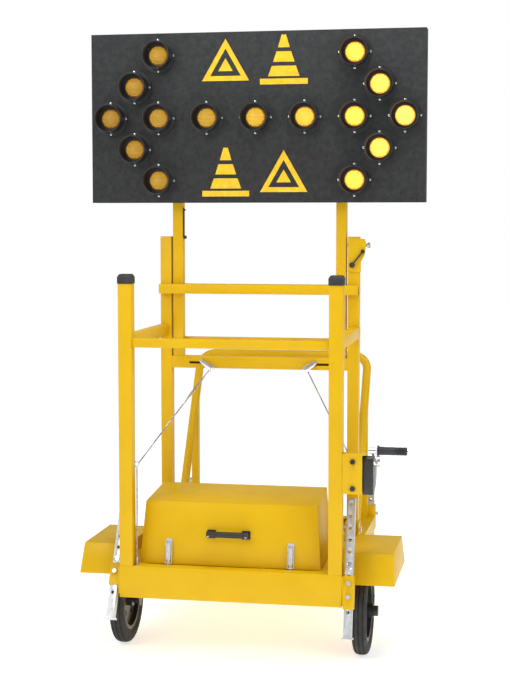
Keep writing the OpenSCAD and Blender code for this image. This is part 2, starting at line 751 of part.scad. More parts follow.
module board_case() color(black) difference() {
    block([-board_w / 2, board_y, board_z], [board_w / 2, board_back_y - board_sheet, board_z + board_h]);
    block([-board_w / 2 + board_sheet, board_y + board_sheet, board_z + board_sheet],
        [board_w / 2 - board_sheet, board_back_y, board_z + board_h - board_sheet]);
}
module board_back() color(black)
    block([-board_w / 2, board_back_y - board_sheet, board_z],
        [board_w / 2, board_back_y, board_z + board_h]);

// Lamp places in pitches: a bar between two arrow heads
lamp_cells = concat([for (i = [-4 : 2 : 4]) [i, 0]],
    [for (s = [-1, 1], k = [-2 : 2]) [s * (6 - abs(k)), k]]);
module at_lamps() for (c = lamp_cells)
    translate([c[0] * lamp_px, board_y, lamp_mid + c[1] * lamp_pz]) rotate([90, 0, 0]) children();

module lamp_hoods() color(black) at_lamps() difference() {
    union() {
        cylinder(r = flange_r, h = 3);
        cylinder(r = hood_r, h = hood_d);
    }
    translate([0, 0, 3]) cylinder(r = hood_r - 2.5, h = hood_d);
    translate([0, 0, -1]) cylinder(r = lens_r + 2, h = hood_d);
    for (a = [0 : 90 : 270]) rotate([0, 0, a]) translate([55, 0, -1]) cylinder(r = 2.2, h = 6);
}

module lamp_lenses() color(amber) at_lamps() intersection() {
    cylinder(r = lens_r + 2 - gap, h = 14);
    translate([0, 0, 14 - 60]) sphere(r = 60, $fn = 96);
}

// ---- winch and ropes -----------------------------------------------------

module winch_plate() color(yellow) difference() {
    union() {
        block([plate_x0, winch_y - plate_t, plate_z], [plate_x0 + plate_w, winch_y, plate_z + plate_h]);
        block([plate_x0, winch_y - plate_t, plate_z + plate_h],
            [plate_x0 + plate_w + 10, winch_y + 40, plate_z + plate_h + 4]);
    }
    for (z = [plate_z + 18, plate_z + 106]) bar_front([plate_x0 + 34, winch_y + 1, z], 5, plate_t + 2);
}

module winch_bolts() color(black) for (z = [plate_z + 18, plate_z + 106]) {
    bar_front([plate_x0 + 34, winch_y + cheek_t, z], 5, plate_t + cheek_t);
    bar_front([plate_x0 + 34, winch_y - plate_t, z], 9, 6, $fn = 6);
    bar_front([plate_x0 + 34, winch_y + cheek_t + 6, z], 9, 6, $fn = 6);
}

// A folded frame: a back plate and two cheeks round the drum
module winch_frame() color(black) difference() {
    union() {
        block([cheek_in, winch_y, plate_z + 6], [case_x0, winch_y + cheek_t, plate_z + plate_h - 2]);
        for (x = [cheek_in, cheek_out]) {
            block([x, winch_y, plate_z + 6], [x + cheek_t, crank_y + 14, plate_z + plate_h - 2]);
            bar_x([x, drum_y, drum_z], 40, cheek_t);
            block([x, winch_y, drum_z - 40], [x + cheek_t, drum_y, drum_z + 40]);
        }
    }
    for (z = [plate_z + 18, plate_z + 106])
        bar_front([plate_x0 + 34, winch_y + cheek_t + 1, z], 5, cheek_t + 2);
    bar_x([cheek_in - 1, drum_y, drum_z], shaft_r + fit, plate_w + 10);
    bar_x([cheek_in - 1, crank_y, crank_z], shaft_r + fit, plate_w + 10);
}

// Black gear case outside the outer cheek, closed all round
module case_outline(t) {
    hull() {
        translate([drum_y, drum_z]) circle(r = gear_module * (gear_teeth / 2 + 1) + 6 + t);
        translate([crank_y, crank_z]) circle(r = 17 + t);
        translate([winch_y + 4 - t, plate_z - 2 - t]) square([30, 20]);
    }
}
module winch_case() color(black) difference() {
    plate_x(case_x0, case_x1 - case_x0) case_outline(0, $fn = 32);
    plate_x(case_x0 - 1, case_x1 - case_x0 - 2) case_outline(-3, $fn = 32);
    bar_x([case_x0 - 2, crank_y, crank_z], shaft_r + fit, 60);
}

// Straight-flanked teeth round a disc; turn sets where the first tooth stands
module gear_outline(teeth, turn) {
    root_r = gear_module * (teeth / 2 - 1.25);
    tip_r = gear_module * (teeth / 2 + 0.9);
    step = 360 / teeth;
    polygon([for (i = [0 : teeth - 1], c = [[-0.27, root_r], [-0.1, tip_r], [0.1, tip_r], [0.27, root_r]])
        c[1] * [cos(turn + (i + c[0]) * step), sin(turn + (i + c[0]) * step)]]);
}
module drum_gear() color(steel) translate([0, drum_y, drum_z]) difference() {
    plate_x(gear_x, gear_t) gear_outline(gear_teeth, gear_angle);
    bar_x([gear_x - 1, 0, 0], shaft_r, gear_t + 2);
}

module rope_drum() color(steel) {
    x0 = cheek_in + cheek_t + 1;
    x1 = cheek_out - 1;
    bar_x([cheek_in - 4, drum_y, drum_z], shaft_r, gear_x + gear_t + 4 - cheek_in);
    bar_x([x0, drum_y, drum_z], drum_r, x1 - x0);
    for (x = [x0, x1 - 3]) bar_x([x, drum_y, drum_z], 35, 3);
}

module crank() color(steel) {
    tip = [crank_y - crank_throw * cos(crank_rise), crank_z + crank_throw * sin(crank_rise)];
    bar_x([cheek_in - 4, crank_y, crank_z], shaft_r, case_x1 + 20 - cheek_in);
    translate([0, crank_y, crank_z]) plate_x(gear_x, gear_t)
        gear_outline(pinion_teeth, gear_angle + 180 + 180 / pinion_teeth);
    bar_x([case_x1 + 1, crank_y, crank_z], 17, 20);
    plate_x(case_x1 + 8, 7) hull() {
        translate([crank_y, crank_z]) circle(r = 13, $fn = 32);
        translate(tip) circle(r = 10, $fn = 32);
    }
    bar_x([case_x1 - 2, tip[0], tip[1]], 9, 24);
    bar_x([case_x1, tip[0], tip[1]], 5, grip_x0 + grip_len - case_x1 + 1);
    bar_x([grip_x0 + grip_len + gap, tip[0], tip[1]], 8, 3);
}

module crank_grip() color(black) {
    tip = [crank_y - crank_throw * cos(crank_rise), crank_z + crank_throw * sin(crank_rise)];
    difference() {
        union() {
            bar_x([grip_x0, tip[0], tip[1]], grip_r, grip_len);
            bar_x([grip_x0, tip[0], tip[1]], grip_flange_r, 5);
        }
        bar_x([grip_x0 - 1, tip[0], tip[1]], 5 + fit, grip_len + 2);
    }
}

// Eye bolt on the inner side of the left front post
module rope_eye() color(steel) {
    bar_x([-front_x + front_w / 2, y0, eye[2]], 3, 5);
    bar_x([-front_x + front_w / 2, y0, eye[2]], 7, 2);
    translate(eye) rotate([90, 0, 0]) rotate_extrude($fn = 48) translate([8, 0]) circle(r = 2.5, $fn = 24);
}

module rope_tail() color(steel) {
    foot = [eye[0] - 1, y0, deck];
    run([foot[0], foot[1], deck + 5], [eye[0] + 0.5, eye[1], eye[2] - 8 - 2.5 - gap], rope_r);
    translate(foot) cylinder(r = 8, h = 5);
}

// The left wire rope with its turnbuckle, from the eye bolt to the left sheave
module rope_left() color(steel) {
    d = rope_l_head - rope_l_foot;
    run(rope_l_foot, rope_l_head, rope_r);
    run(rope_l_foot + 0.65 * d, rope_l_foot + 0.93 * d, 2 * rope_r);
}

module rope_right() color(steel) run(rope_r_foot, rope_r_head, rope_r);

// ---- what is drawn -------------------------------------------------------

tray();
axle();
fender_left();
fender_right();
front_post(-1);  // front_post_left
front_post(1);  // front_post_right
post_caps();
side_rails();
front_beam();
mast_feet();
mast_pivot_pins();
push_handle();
handle_struts();
batteries();
controller();
cover_hinges();
latch_keepers();
winch_plate();
winch_bolts();
winch_frame();
winch_case();
leg_sleeves();
clamp_bolts();
rope_eye();
rope_tail();
tyre(-1);  // tyre_left
tyre(1);  // tyre_right
rim(-1);  // rim_left
rim(1);  // rim_right
front_leg_left();
front_leg_right();
rear_leg(-1);  // rear_leg_left
rear_leg(1);  // rear_leg_right
rope_drum();
drum_gear();
crank();
crank_grip();
outer_post(-1);  // outer_post_left
outer_post(1);  // outer_post_right
crossbar();
lower_beam();
mast_guides();
rope_lugs();
lock_bracket();
rope_left();
rope_right();
inner_post(-1);  // inner_post_left
inner_post(1);  // inner_post_right
board_case();
board_back();
lamp_hoods();
lamp_lenses();
lock_lever_left();
lock_lever_right();
lock_pin();
box_cover();
cover_handle();
latch_bases();
latch(-latch_x);  // latch_left
latch(latch_x);  // latch_right
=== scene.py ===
# %% [markdown]
# # An arrow board trailer
# The trailer's bodies and joints come ready made from the CAD model. This lesson dresses
# that frame: it softens the metal's edges, adds the small parts a maker would fit, and
# mixes every finish from procedural nodes. All sizes are in metres.

# %% Load the frame
import json
import math

import bpy
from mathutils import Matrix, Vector

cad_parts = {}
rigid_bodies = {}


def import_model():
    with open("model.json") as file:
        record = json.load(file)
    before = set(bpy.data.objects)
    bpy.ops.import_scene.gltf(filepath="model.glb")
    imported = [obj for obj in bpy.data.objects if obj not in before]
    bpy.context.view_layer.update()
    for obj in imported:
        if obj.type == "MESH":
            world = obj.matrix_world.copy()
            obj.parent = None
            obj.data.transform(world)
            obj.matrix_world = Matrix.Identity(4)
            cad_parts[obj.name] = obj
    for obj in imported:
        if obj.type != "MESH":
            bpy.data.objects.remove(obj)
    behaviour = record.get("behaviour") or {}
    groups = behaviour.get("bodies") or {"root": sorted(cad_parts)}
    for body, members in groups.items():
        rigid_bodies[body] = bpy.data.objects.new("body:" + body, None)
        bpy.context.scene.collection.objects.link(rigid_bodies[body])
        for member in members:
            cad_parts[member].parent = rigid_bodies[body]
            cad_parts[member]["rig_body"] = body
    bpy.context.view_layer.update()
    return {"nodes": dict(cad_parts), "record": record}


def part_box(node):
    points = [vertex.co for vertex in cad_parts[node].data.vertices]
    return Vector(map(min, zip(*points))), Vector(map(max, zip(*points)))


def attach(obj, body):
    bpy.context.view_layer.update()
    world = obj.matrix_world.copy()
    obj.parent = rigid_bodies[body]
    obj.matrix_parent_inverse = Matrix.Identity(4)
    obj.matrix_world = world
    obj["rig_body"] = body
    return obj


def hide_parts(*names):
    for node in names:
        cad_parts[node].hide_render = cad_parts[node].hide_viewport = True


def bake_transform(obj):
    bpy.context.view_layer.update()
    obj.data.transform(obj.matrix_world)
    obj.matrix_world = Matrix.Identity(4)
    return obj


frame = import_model()
nodes = frame["nodes"]

# %% [markdown]
# The camera stands 4.8 m in front of the trailer and a metre to its right, at shoulder
# height. A long lens keeps the board's sides nearly parallel.

# %% Camera
AWAY, ASIDE, EYE_HEIGHT = 4.8, 0.999, 1.484
TURNED, TIPPED, LENS = 10.8, 4.66, 79.18
post_lo, post_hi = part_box("front_post_left")
front_plane = (post_lo.y + post_hi.y) / 2
camera_data = bpy.data.cameras.new("camera")
camera_data.sensor_fit = "VERTICAL"
camera_data.sensor_height = 36
camera_data.lens = LENS
camera = bpy.data.objects.new("camera", camera_data)
camera.location = (ASIDE, front_plane - AWAY, EYE_HEIGHT)
camera.rotation_euler = (math.radians(90 - TIPPED), 0, math.radians(TURNED))
bpy.context.scene.collection.objects.link(camera)
bpy.context.scene.camera = camera

# %% [markdown]
# A pale floor and an even sky give soft studio light. The sky lights the trailer at
# under half of the brightness that it shows behind it. One large key light from the
# upper left and a weaker fill from the right shape the square tubes, and a lamp overhead
# brightens what faces up.

# %% Floor, sky and lights
WHITE, PALE = (1, 1, 1, 1), (0.9, 0.9, 0.9, 1)
bpy.ops.object.select_all(action="DESELECT")
bpy.ops.mesh.primitive_plane_add(size=60, location=(0, 0, 0))
floor = bpy.context.object
floor.name = "floor"
floor_mat = bpy.data.materials.new("pale_floor")
floor_mat.use_nodes = True
floor_shader = floor_mat.node_tree.nodes["Principled BSDF"]
for socket, value in (("Base Color", PALE), ("Roughness", 0.8), ("Specular IOR Level", 0.1),
        ("Emission Color", WHITE), ("Emission Strength", 0.62)):
    floor_shader.inputs[socket].default_value = value
floor.data.materials.append(floor_mat)

world = bpy.data.worlds.new("sky")
bpy.context.scene.world = world
world.use_nodes = True
sky_nodes, sky_links = world.node_tree.nodes, world.node_tree.links
sky = sky_nodes["Background"]
backdrop = sky_nodes.new("ShaderNodeBackground")
for source, strength in ((sky, 0.42), (backdrop, 1.0)):
    source.inputs["Color"].default_value = WHITE
    source.inputs["Strength"].default_value = strength
either = sky_nodes.new("ShaderNodeMixShader")
light_path = sky_nodes.new("ShaderNodeLightPath")
sky_links.new(light_path.outputs["Is Camera Ray"], either.inputs[0])
sky_links.new(sky.outputs[0], either.inputs[1])
sky_links.new(backdrop.outputs[0], either.inputs[2])
sky_links.new(either.outputs[0], sky_nodes["World Output"].inputs["Surface"])


def area_light(name, place, target, size, watts):
    """A square soft box that looks at target."""
    data = bpy.data.lights.new(name, "AREA")
    data.size, data.energy = size, watts
    lamp = bpy.data.objects.new(name, data)
    lamp.location = place
    lamp.rotation_euler = (Vector(target) - Vector(place)).to_track_quat("-Z", "Y").to_euler()
    bpy.context.scene.collection.objects.link(lamp)


area_light("key", (-2.6, -4.2, 4.0), (0, 0, 1.0), 2.0, 82)
area_light("fill", (4.0, -3.0, 2.2), (0, 0, 1.0), 2.5, 42)
area_light("top", (0.6, -0.9, 4.4), (0, -0.2, 0.4), 2.0, 85)
bpy.context.scene.view_settings.view_transform = "Standard"

# %% [markdown]
# Every finish starts from the same small kit: a Principled shader, object coordinates,
# and noise of a chosen grain. The noise varies the colour and the roughness a little, and
# a finer one makes the bump, so no surface is a single flat colour.

# %% Material kit
NOISE_RANGE = (0.3, 0.7)    # where most of a noise's values lie


class Finish:
    """A material under construction, with shortcuts for its nodes."""

    def __init__(self, name):
        self.mat = bpy.data.materials.new(name)
        self.mat.use_nodes = True
        self.tree = self.mat.node_tree
        self.shader = self.tree.nodes["Principled BSDF"]
        self.place = self.tree.nodes.new("ShaderNodeTexCoord").outputs["Object"]

    def wire(self, output, socket):
        self.tree.links.new(output, socket)

    def noise(self, scale, detail=4, stretch=None):
        """Noise on object coordinates; stretch squeezes it along an axis for brushed grain."""
        node = self.tree.nodes.new("ShaderNodeTexNoise")
        node.inputs["Scale"].default_value = scale
        node.inputs["Detail"].default_value = detail
        if stretch:
            turn = self.tree.nodes.new("ShaderNodeMapping")
            turn.inputs["Scale"].default_value = stretch
            self.wire(self.place, turn.inputs["Vector"])
            self.wire(turn.outputs["Vector"], node.inputs["Vector"])
        else:
            self.wire(self.place, node.inputs["Vector"])
        return node.outputs["Fac"]

    def ramp(self, fac, stops):
        """A colour ramp with (position, colour) stops."""
        node = self.tree.nodes.new("ShaderNodeValToRGB")
        band = node.color_ramp
        while len(band.elements) < len(stops):
            band.elements.new(0.5)
        for e, (at, colour) in zip(band.elements, stops):
            e.position, e.color = at, (*colour, 1)
        self.wire(fac, node.inputs["Fac"])
        return node.outputs["Color"]

    def remap(self, value, start, end, low, high):
        """The value's stretch from start to end, spread from low to high."""
        node = self.tree.nodes.new("ShaderNodeMapRange")
        for key, number in (("From Min", start), ("From Max", end), ("To Min", low), ("To Max", high)):
            node.inputs[key].default_value = number
        self.wire(value, node.inputs["Value"])
        return node.outputs["Result"]

    def bump(self, fac, strength, distance):
        node = self.tree.nodes.new("ShaderNodeBump")
        node.inputs["Strength"].default_value = strength
        node.inputs["Distance"].default_value = distance
        self.wire(fac, node.inputs["Height"])
        self.wire(node.outputs["Normal"], self.shader.inputs["Normal"])

    def set(self, **values):
        """Sets the shader's inputs by name: coat_weight is its Coat Weight."""
        for key, value in values.items():
            socket = key.replace("_", " ").title().replace("Ior", "IOR")
            self.shader.inputs[socket].default_value = value


def mottled(name, stops, rough, grain, bump, depth, spots=9, stretch=None, **values):
    """A finish with patchy colour, uneven roughness and a fine bump."""
    f = Finish(name)
    f.wire(f.ramp(f.noise(spots, 6, stretch), stops), f.shader.inputs["Base Color"])
    roughness = f.remap(f.noise(spots * 3), *NOISE_RANGE, *rough)
    f.wire(roughness, f.shader.inputs["Roughness"])
    f.bump(f.noise(grain, 3, stretch), bump, depth)
    f.set(**values)
    return f.mat


# %% [markdown]
# Traffic yellow is a thick enamel. Faint orange peel, slightly deeper patches and only a
# trace of clear coat keep it from looking like plain plastic. Each finish here is one call:
# its colours, the range of its roughness, and the grain, strength and depth of its bump.

# %% Paints
yellow = mottled("yellow_enamel", [(0.25, (0.68, 0.405, 0.001)), (0.5, (0.71, 0.43, 0.002)),
    (0.8, (0.735, 0.45, 0.003))],
    rough=(0.38, 0.5), grain=420, bump=0.10, depth=0.0003, coat_weight=0.05,
    specular_ior_level=0.22)
strap_yellow = mottled("strap_enamel", [(0.3, (0.64, 0.36, 0.004)), (0.7, (0.72, 0.42, 0.006))],
    rough=(0.34, 0.5), grain=380, bump=0.12, depth=0.0003, coat_weight=0.1, specular_ior_level=0.35)
black_paint = mottled("black_enamel", [(0.3, (0.012, 0.012, 0.013)), (0.7, (0.03, 0.03, 0.032))],
    rough=(0.3, 0.5), grain=500, bump=0.15, depth=0.0003, spots=14, coat_weight=0.15)
board_black = mottled("textured_black", [(0.3, (0.012, 0.013, 0.014)), (0.7, (0.026, 0.027, 0.028))],
    rough=(0.55, 0.78), grain=700, bump=0.5, depth=0.0006, spots=60, specular_ior_level=0.4)

# %% [markdown]
# Rubber is rougher than paint and carries a dusty bloom. Moulded plastic has a fine
# leather-like grain, which a small, shallow bump gives without any modelling.

# %% Rubber and plastics
tyre_rubber = mottled("tyre_rubber", [(0.3, (0.012, 0.012, 0.012)), (0.55, (0.028, 0.028, 0.028)),
    (0.8, (0.075, 0.07, 0.062))],
    rough=(0.7, 0.92), grain=260, bump=0.4, depth=0.0006, spots=16)
soft_rubber = mottled("soft_rubber", [(0.3, (0.012, 0.013, 0.015)), (0.75, (0.035, 0.037, 0.042))],
    rough=(0.55, 0.75), grain=600, bump=0.3, depth=0.0003, spots=30)
black_plastic = mottled("black_plastic", [(0.3, (0.01, 0.01, 0.011)), (0.75, (0.026, 0.026, 0.028))],
    rough=(0.34, 0.5), grain=900, bump=0.3, depth=0.0002, spots=40)
battery_plastic = mottled("battery_plastic", [(0.3, (0.03, 0.03, 0.036)), (0.75, (0.07, 0.07, 0.08))],
    rough=(0.4, 0.55), grain=800, bump=0.3, depth=0.0002, spots=30)
grey_plastic = mottled("grey_plastic", [(0.3, (0.42, 0.42, 0.44)), (0.75, (0.55, 0.55, 0.57))],
    rough=(0.38, 0.5), grain=800, bump=0.2, depth=0.0002, spots=20)

# %% [markdown]
# Zinc plate is pale and faintly spangled. Bright steel is brushed along one way, so
# its noise is stretched. Wire rope is duller, with patches of grime.

# %% Metals
zinc = mottled("zinc_plate", [(0.3, (0.60, 0.61, 0.62)), (0.5, (0.68, 0.69, 0.70)),
    (0.75, (0.76, 0.77, 0.78))],
    rough=(0.32, 0.48), grain=240, bump=0.12, depth=0.0003, spots=90, metallic=0.75)
bright_steel = mottled("bright_steel", [(0.3, (0.62, 0.63, 0.65)), (0.75, (0.86, 0.86, 0.88))],
    rough=(0.12, 0.26), grain=500, bump=0.1, depth=0.0002, spots=60, stretch=(1, 1, 12), metallic=1.0)
black_steel = mottled("black_steel", [(0.3, (0.02, 0.02, 0.022)), (0.75, (0.06, 0.06, 0.064))],
    rough=(0.35, 0.55), grain=500, bump=0.2, depth=0.0003, spots=50, metallic=0.6)
rope_steel = mottled("rope_steel", [(0.3, (0.28, 0.28, 0.29)), (0.7, (0.62, 0.62, 0.64))],
    rough=(0.3, 0.5), grain=600, bump=0.2, depth=0.0003, spots=160, metallic=0.9)
mark_yellow = mottled("mark_film", [(0.3, (0.78, 0.44, 0.005)), (0.7, (0.92, 0.58, 0.012))],
    rough=(0.35, 0.5), grain=700, bump=0.15, depth=0.0002, spots=60)

# %% [markdown]
# The lamps are amber. The ones on the right are lit more brightly than those on the left,
# so the light colour comes from a ramp along the board's width. A cell pattern breaks the
# lens into small prisms. The lens itself is a deep amber, and its diodes are paler.

# %% Lamp glass
LAMPS_REACH = 0.56    # the ramp ends a little past the outermost lamps


def lamp_glass(name, glow_stops, glass, strength, cells):
    """Glass over a light that grows from left to right; cells is the prisms' fineness."""
    f = Finish(name)
    split = f.tree.nodes.new("ShaderNodeSeparateXYZ")
    f.wire(f.place, split.inputs["Vector"])
    along = f.remap(split.outputs["X"], -LAMPS_REACH, LAMPS_REACH, 0, 1)
    f.wire(f.ramp(along, glow_stops), f.shader.inputs["Emission Color"])
    f.wire(f.ramp(f.noise(40, 3), glass), f.shader.inputs["Base Color"])
    cell = f.tree.nodes.new("ShaderNodeTexVoronoi")
    cell.inputs["Scale"].default_value = cells
    f.wire(f.place, cell.inputs["Vector"])
    f.bump(cell.outputs["Distance"], 0.5, 0.0012)
    f.set(emission_strength=strength, roughness=0.22, coat_weight=0.3)
    return f.mat


lens_glass = lamp_glass("amber_lens", [(0, (0.06, 0.018, 0.001)), (0.45, (0.14, 0.055, 0.003)),
    (0.75, (0.42, 0.16, 0.010)), (1, (0.80, 0.34, 0.03))],
    [(0.3, (0.20, 0.075, 0.006)), (0.7, (0.32, 0.13, 0.01))], strength=1.5, cells=260)
led_glass = lamp_glass("amber_led", [(0, (0.14, 0.080, 0.010)), (0.3, (0.22, 0.145, 0.014)),
    (0.55, (0.40, 0.28, 0.024)), (0.78, (0.75, 0.50, 0.06)), (1, (1.0, 0.66, 0.14))],
    [(0.3, (0.40, 0.24, 0.03)), (0.7, (0.60, 0.40, 0.06))], strength=2.2, cells=700)

# %% [markdown]
# The CAD pieces whose shape is already right keep it and only take a finish. Each node
# is matched to a finish by the material slot that the record gives it.

# %% Finish the CAD nodes
BY_SLOT = {
    "yellow_paint": yellow, "strap_paint": strap_yellow, "black_paint": black_paint,
    "board_paint": board_black, "tyre": tyre_rubber, "black_rubber": soft_rubber,
    "black_plastic": black_plastic, "amber_lens": lens_glass, "battery_plastic": battery_plastic,
    "grey_plastic": grey_plastic, "zinc": zinc, "bright_steel": bright_steel,
    "black_steel": black_steel, "wire_rope": rope_steel}
slot_of = {row["node"]: row["material_slot"] for row in frame["record"]["subparts"]}
body_of = {name: ob["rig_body"] for name, ob in nodes.items()}
for name, ob in nodes.items():
    ob.data.materials.clear()
    ob.data.materials.append(BY_SLOT[slot_of[name]])
print("finished", len(nodes), "CAD nodes")


# %% [markdown]
# A few helpers do what a modeller's hands do: select one object, select faces by a test,
# apply a modifier, and finally set the piece down on the body that carries it.

# %% Modelling helpers
BEVEL_ABOVE, SMOOTH_BELOW = 40, 32    # degrees between two faces
MERGE = 0.00002                       # points nearer than this become one


def take(*objects):
    """Leaves only these selected; the first is the active one."""
    bpy.ops.object.select_all(action="DESELECT")
    for ob in objects:
        ob.select_set(True)
    bpy.context.view_layer.objects.active = objects[0]


def joined(parts):
    """The parts as one object, the first."""
    take(*parts)
    bpy.ops.object.join()
    return parts[0]


def edit(ob, kind="FACE", test=None):
    """Edit mode with everything selected, or only the faces or points that pass the test."""
    take(ob)
    if test:
        for elements in (ob.data.vertices, ob.data.edges, ob.data.polygons):
            for element in elements:
                element.select = False
        for element in ob.data.polygons if kind == "FACE" else ob.data.vertices:
            element.select = test(element)
    bpy.ops.object.mode_set(mode="EDIT")
    bpy.ops.mesh.select_mode(type=kind)
    if not test:
        bpy.ops.mesh.select_all(action="SELECT")


def leave():
    bpy.ops.object.mode_set(mode="OBJECT")


def bevel(ob, width):
    """Rounds every edge that turns by more than BEVEL_ABOVE degrees."""
    take(ob)
    mod = ob.modifiers.new("edges", "BEVEL")
    mod.width, mod.segments, mod.angle_limit = width, 2, math.radians(BEVEL_ABOVE)
    mod.limit_method = "ANGLE"
    bpy.ops.object.modifier_apply(modifier=mod.name)


def settle(ob, name, body, slot, finish=None):
    """Places applied, edges shaded, name, finish and body given; the slot only picks the finish when
    none is passed.
    """
    take(ob)
    bpy.ops.object.transform_apply(location=True, rotation=True, scale=True)
    bpy.ops.object.shade_smooth_by_angle(angle=math.radians(SMOOTH_BELOW))
    ob.name = ob.data.name = name
    ob.data.materials.clear()
    ob.data.materials.append(finish or BY_SLOT[slot])
    if body:
        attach(ob, body)
    print("made", name, len(ob.data.polygons), "faces")


def copy_to(ob, places):
    """Copies of ob, each with its own mesh, moved by each offset, joined into one."""
    made = []
    for place in places:
        twin = ob.copy()
        twin.data = ob.data.copy()
        bpy.context.scene.collection.objects.link(twin)
        twin.location = ob.location + Vector(place)
        made.append(twin)
    bpy.data.objects.remove(ob)
    return joined(made)


# %% [markdown]
# Real square tube and folded sheet have no knife edges. Each of these nodes is copied,
# its loose triangles are merged, flat areas are dissolved back to whole faces, and a
# narrow bevel catches the light along every edge.

# %% Soften the metal's edges
def soften(node, width):
    """A copy of the node with bevels of this width, in the node's place."""
    piece = bpy.data.objects.new(node + "_soft", nodes[node].data.copy())
    bpy.context.scene.collection.objects.link(piece)
    take(piece)
    bpy.ops.mesh.customdata_custom_splitnormals_clear()
    edit(piece)
    bpy.ops.mesh.remove_doubles(threshold=MERGE)
    bpy.ops.mesh.dissolve_limited(angle_limit=math.radians(0.5))
    leave()
    bevel(piece, width)
    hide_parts(node)
    settle(piece, node + "_soft", body_of[node], slot_of[node])


EDGE_WIDTHS = {
    "front_post_left": 0.0022, "front_post_right": 0.0022, "side_rails": 0.002, "front_beam": 0.002,
    "crossbar": 0.002, "lower_beam": 0.0016, "outer_post_left": 0.002, "outer_post_right": 0.002,
    "inner_post_left": 0.0018, "inner_post_right": 0.0018, "tray": 0.0009, "box_cover": 0.0007,
    "fender_left": 0.0009, "fender_right": 0.0009, "board_case": 0.0007, "winch_plate": 0.001,
    "winch_case": 0.0015, "mast_feet": 0.001, "post_caps": 0.002, "batteries": 0.003,
    "controller": 0.003, "mast_guides": 0.0006, "lock_bracket": 0.0006, "leg_sleeves": 0.0008,
    "rope_lugs": 0.0005, "front_leg_left": 0.0008, "front_leg_right": 0.0008}
for node, width in EDGE_WIDTHS.items():
    soften(node, width)


# %% [markdown]
# Round parts are turned: their section is drawn as a closed line of points, and Spin
# sweeps it about the part's own axis. Tyres get a crowned tread with three fine grooves, a
# rounded shoulder and a raised sidewall rib, so one half of the section is drawn and the
# other half mirrors it.

# %% Lathe, and the tyres
def lathe(outline, centre, steps):
    """Turns (radius, distance along X) points about an X axis through centre; a closed outline."""
    mesh = bpy.data.meshes.new("outline")
    edges = [(i, (i + 1) % len(outline)) for i in range(len(outline))]
    mesh.from_pydata([(x, 0, r) for r, x in outline], edges, [])
    ob = bpy.data.objects.new("turned", mesh)
    bpy.context.scene.collection.objects.link(ob)
    edit(ob, "VERT")
    bpy.ops.mesh.spin(steps=steps, angle=2 * math.pi, center=(0, 0, 0), axis=(1, 0, 0))
    bpy.ops.mesh.select_all(action="SELECT")
    bpy.ops.mesh.remove_doubles(threshold=MERGE)
    bpy.ops.mesh.normals_make_consistent(inside=False)
    leave()
    ob.location = centre
    return ob


def middle(node):
    lo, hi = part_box(node)
    return (lo + hi) / 2


SKIN = 0.00003    # how far a turned piece stays inside its CAD solid
tyre_lo, tyre_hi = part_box("tyre_left")
tyre_r = (tyre_hi.z - tyre_lo.z) / 2 - SKIN
tyre_half = (tyre_hi.x - tyre_lo.x) / 2
bead_r = tyre_r - 0.045
# radius, and distance from the middle as a share of half the width
half_tread = [(bead_r, 0.78), (bead_r + 0.008, 0.86), (tyre_r - 0.032, 0.965), (tyre_r - 0.030, 0.985),
    (tyre_r - 0.026, 0.985), (tyre_r - 0.023, 0.985), (tyre_r - 0.018, 0.975), (tyre_r - 0.012, 0.92),
    (tyre_r - 0.0075, 0.83), (tyre_r - 0.0042, 0.72), (tyre_r - 0.0022, 0.60), (tyre_r - 0.005, 0.58),
    (tyre_r - 0.005, 0.52), (tyre_r - 0.0014, 0.50), (tyre_r - 0.0002, 0.30), (tyre_r, 0.08),
    (tyre_r - 0.003, 0.06)]
for side in ("left", "right"):
    outline = [(r, -x * tyre_half) for r, x in half_tread]
    outline += [(r, x * tyre_half) for r, x in reversed(half_tread)]
    tyre = lathe(outline, middle("tyre_" + side), 96)
    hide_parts("tyre_" + side)
    settle(tyre, "tyre_tread_" + side, "wheel_" + side, "tyre")


# %% [markdown]
# The crank's grip is moulded rubber: a flange at the hand's inner side, a long barrel,
# and fine rings at its outer end so that a wet glove does not slip.

# %% Crank grip
GRIP_RINGS, FIRST_RING, RING_STEP = 8, 0.058, 0.004
grip_lo, grip_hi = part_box("crank_grip")
grip_mid = middle("crank_grip")
flange_r = (grip_hi.z - grip_lo.z) / 2 - SKIN
barrel_r = flange_r - 0.0035
bore_r = 0.0051
outline = [(bore_r, 0), (flange_r - 0.001, 0), (flange_r, 0.001), (flange_r, 0.004),
    (flange_r - 0.001, 0.005), (barrel_r, 0.0065), (barrel_r - 0.001, 0.03), (barrel_r - 0.0006, 0.055)]
for ring in range(GRIP_RINGS):
    start = FIRST_RING + ring * RING_STEP
    outline += [(barrel_r - 0.002, start), (barrel_r - 0.002, start + 0.001),
        (barrel_r - 0.0002, start + 0.0018), (barrel_r - 0.0002, start + 0.0032)]
outline += [(barrel_r - 0.0015, 0.0925), (barrel_r - 0.004, 0.094), (bore_r, 0.094)]
grip = lathe(outline, (grip_lo.x, grip_mid.y, grip_mid.z), 48)
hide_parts("crank_grip")
settle(grip, "ribbed_grip", "grip", "black_rubber")

# %% [markdown]
# Each lamp shows a cluster of small light-emitting diodes. Their domes stand on the lens's
# face, where they can be seen. One dome is modelled from a small sphere, repeated in a
# round honeycomb for one lamp, and that cluster is then repeated for all 15 lamps.

